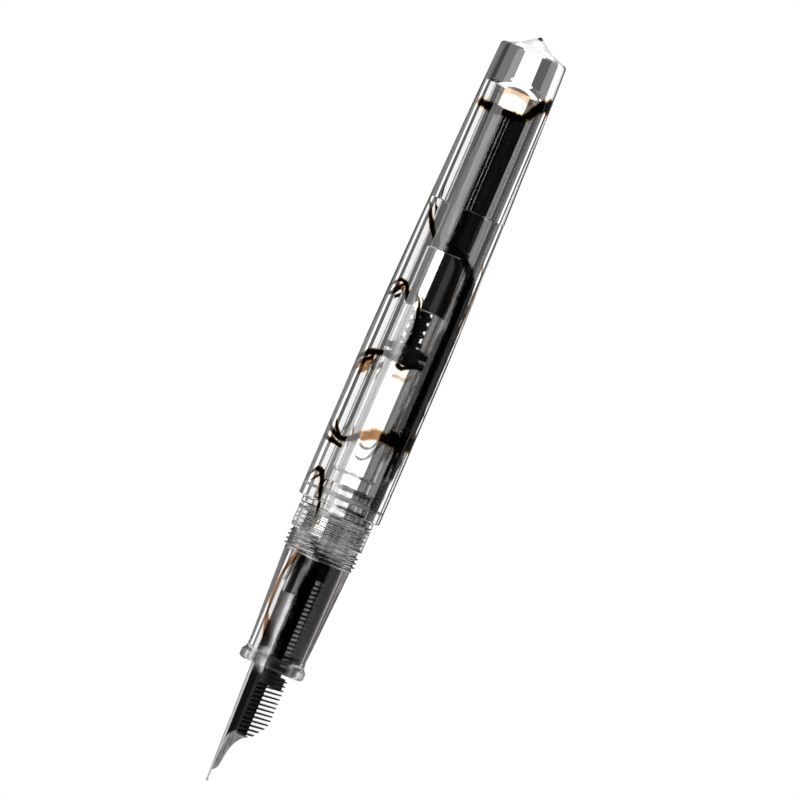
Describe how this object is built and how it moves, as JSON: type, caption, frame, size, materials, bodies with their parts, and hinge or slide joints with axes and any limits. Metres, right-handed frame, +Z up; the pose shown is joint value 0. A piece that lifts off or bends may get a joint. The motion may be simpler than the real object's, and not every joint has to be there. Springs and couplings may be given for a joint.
{
  "type": "fountain pen",
  "caption": "Clear cartridge/converter fountain pen without its cap: grip with nib and finned feed, piston converter, pull-off barrel with a conical tail.",
  "frame": {"origin": "on the pen's axis, level with the nib's point", "axes": "+Z runs up the axis from the nib to the tail; the top of the nib faces -X and the feed's open fins face +X"},
  "size_m": [0.0141, 0.014, 0.1315],
  "materials": {
    "barrel_acrylic": "polished clear acrylic with smoky dark ribbons cast in it",
    "section_acrylic": "polished clear acrylic, faintly smoky",
    "silicone": "translucent silicone",
    "nib_steel": "polished steel",
    "tipping": "ground hard alloy",
    "feed_plastic": "black moulded plastic",
    "tank_plastic": "clear moulded plastic",
    "ferrule_metal": "polished plate",
    "guide_plastic": "black moulded plastic",
    "knob_plastic": "glossy black moulded plastic",
    "rod_plastic": "black moulded plastic",
    "seal_rubber": "black rubber"
  },
  "bodies": {
    "grip_unit": {"section": "section_acrylic", "section_oring": "silicone", "nib": "nib_steel", "nib_tipping": "tipping", "feed": "feed_plastic", "converter_tube": "tank_plastic", "converter_ferrule": "ferrule_metal", "converter_guide": "guide_plastic", "converter_collar": "knob_plastic"},
    "barrel": {"barrel": "barrel_acrylic"},
    "knob": {"converter_knob": "knob_plastic"},
    "piston": {"piston_rod": "rod_plastic", "piston_seal": "seal_rubber"}
  },
  "joints": [
    {"name": "barrel_pull_off", "type": "slide", "parent": "grip_unit", "child": "barrel", "axis": [0, 0, 1], "range_m": [0, 0.085]},
    {"name": "knob_turn", "type": "hinge", "parent": "grip_unit", "child": "knob", "pos_m": [0, 0, 0.093], "axis": [0, 0, 1], "range_deg": [-605, 2095]},
    {"name": "piston_travel", "type": "slide", "parent": "grip_unit", "child": "piston", "axis": [0, 0, 1], "range_m": [-0.0174, 0.005]}
  ],
  "couplings": [
    {"joint": "knob_turn", "follows": "piston_travel", "rad_per_m": -2094.4}
  ]
}
